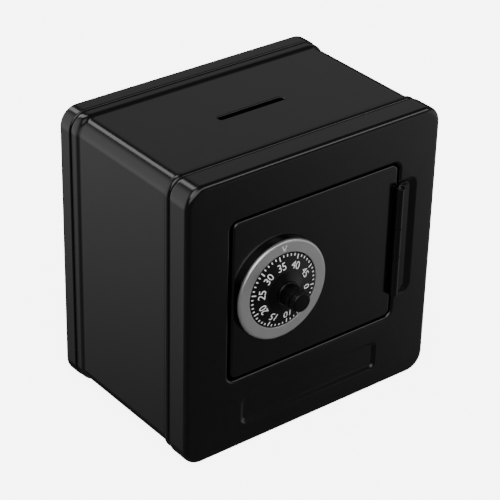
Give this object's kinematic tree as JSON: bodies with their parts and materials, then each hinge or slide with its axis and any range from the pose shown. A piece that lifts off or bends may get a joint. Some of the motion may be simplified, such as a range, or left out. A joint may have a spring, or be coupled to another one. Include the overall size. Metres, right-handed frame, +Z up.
{
  "type": "toy safe coin bank",
  "caption": "Sheet steel toy safe money box with a coin slot, a hinged door and a numbered combination dial that turns a gated wheel lock.",
  "frame": {"origin": "on the surface the bank stands on, under the middle of the whole bank with its knob", "axes": "+X to the right seen from the front, +Y from the door to the back, +Z up"},
  "size_m": [0.125, 0.1, 0.1245],
  "materials": {
    "black_enamel": "semi-gloss black enamel",
    "black_plastic": "semi-gloss moulded",
    "satin_ring": "satin",
    "plain_steel": "drawn",
    "zinc_plate": "bright zinc plate",
    "brass": "turned",
    "fibre": "pressed fibre"
  },
  "bodies": {
    "body": {"body_sleeve": "black_enamel", "front_pan": "black_enamel", "rear_pan": "black_enamel", "catch_bracket": "zinc_plate", "frame_leaf": "black_enamel", "hinge_pin": "plain_steel"},
    "door": {"door_panel": "black_enamel", "door_leaf": "black_enamel", "dial_drum": "black_plastic", "bezel_ring": "satin_ring", "dial_bush": "brass", "wheel_spacer": "brass", "friction_washer": "fibre", "lock_cover": "zinc_plate", "cover_screws": "plain_steel"},
    "dial": {"dial_disc": "black_plastic", "dial_knob": "black_plastic", "dial_spindle": "plain_steel", "drive_wheel": "zinc_plate", "spindle_clip": "plain_steel"},
    "first_wheel": {"first_wheel": "zinc_plate"},
    "second_wheel": {"second_wheel": "zinc_plate"}
  },
  "joints": [
    {"name": "door_hinge", "type": "hinge", "parent": "body", "child": "door", "pos_m": [0.0413, -0.0366, 0], "axis": [0, 0, 1], "range_deg": [0, 170]},
    {"name": "dial_turn", "type": "hinge", "parent": "door", "child": "dial", "pos_m": [-0.0185, -0.035, 0.06905], "axis": [0, -1, 0], "continuous": true},
    {"name": "first_wheel_turn", "type": "hinge", "parent": "door", "child": "first_wheel", "pos_m": [-0.0185, -0.035, 0.06905], "axis": [0, -1, 0], "continuous": true},
    {"name": "second_wheel_turn", "type": "hinge", "parent": "door", "child": "second_wheel", "pos_m": [-0.0185, -0.035, 0.06905], "axis": [0, -1, 0], "continuous": true}
  ],
  "couplings": [
    {"joint": "first_wheel_turn", "follows": "dial_turn", "ratio": 1},
    {"joint": "second_wheel_turn", "follows": "dial_turn", "ratio": 1}
  ]
}
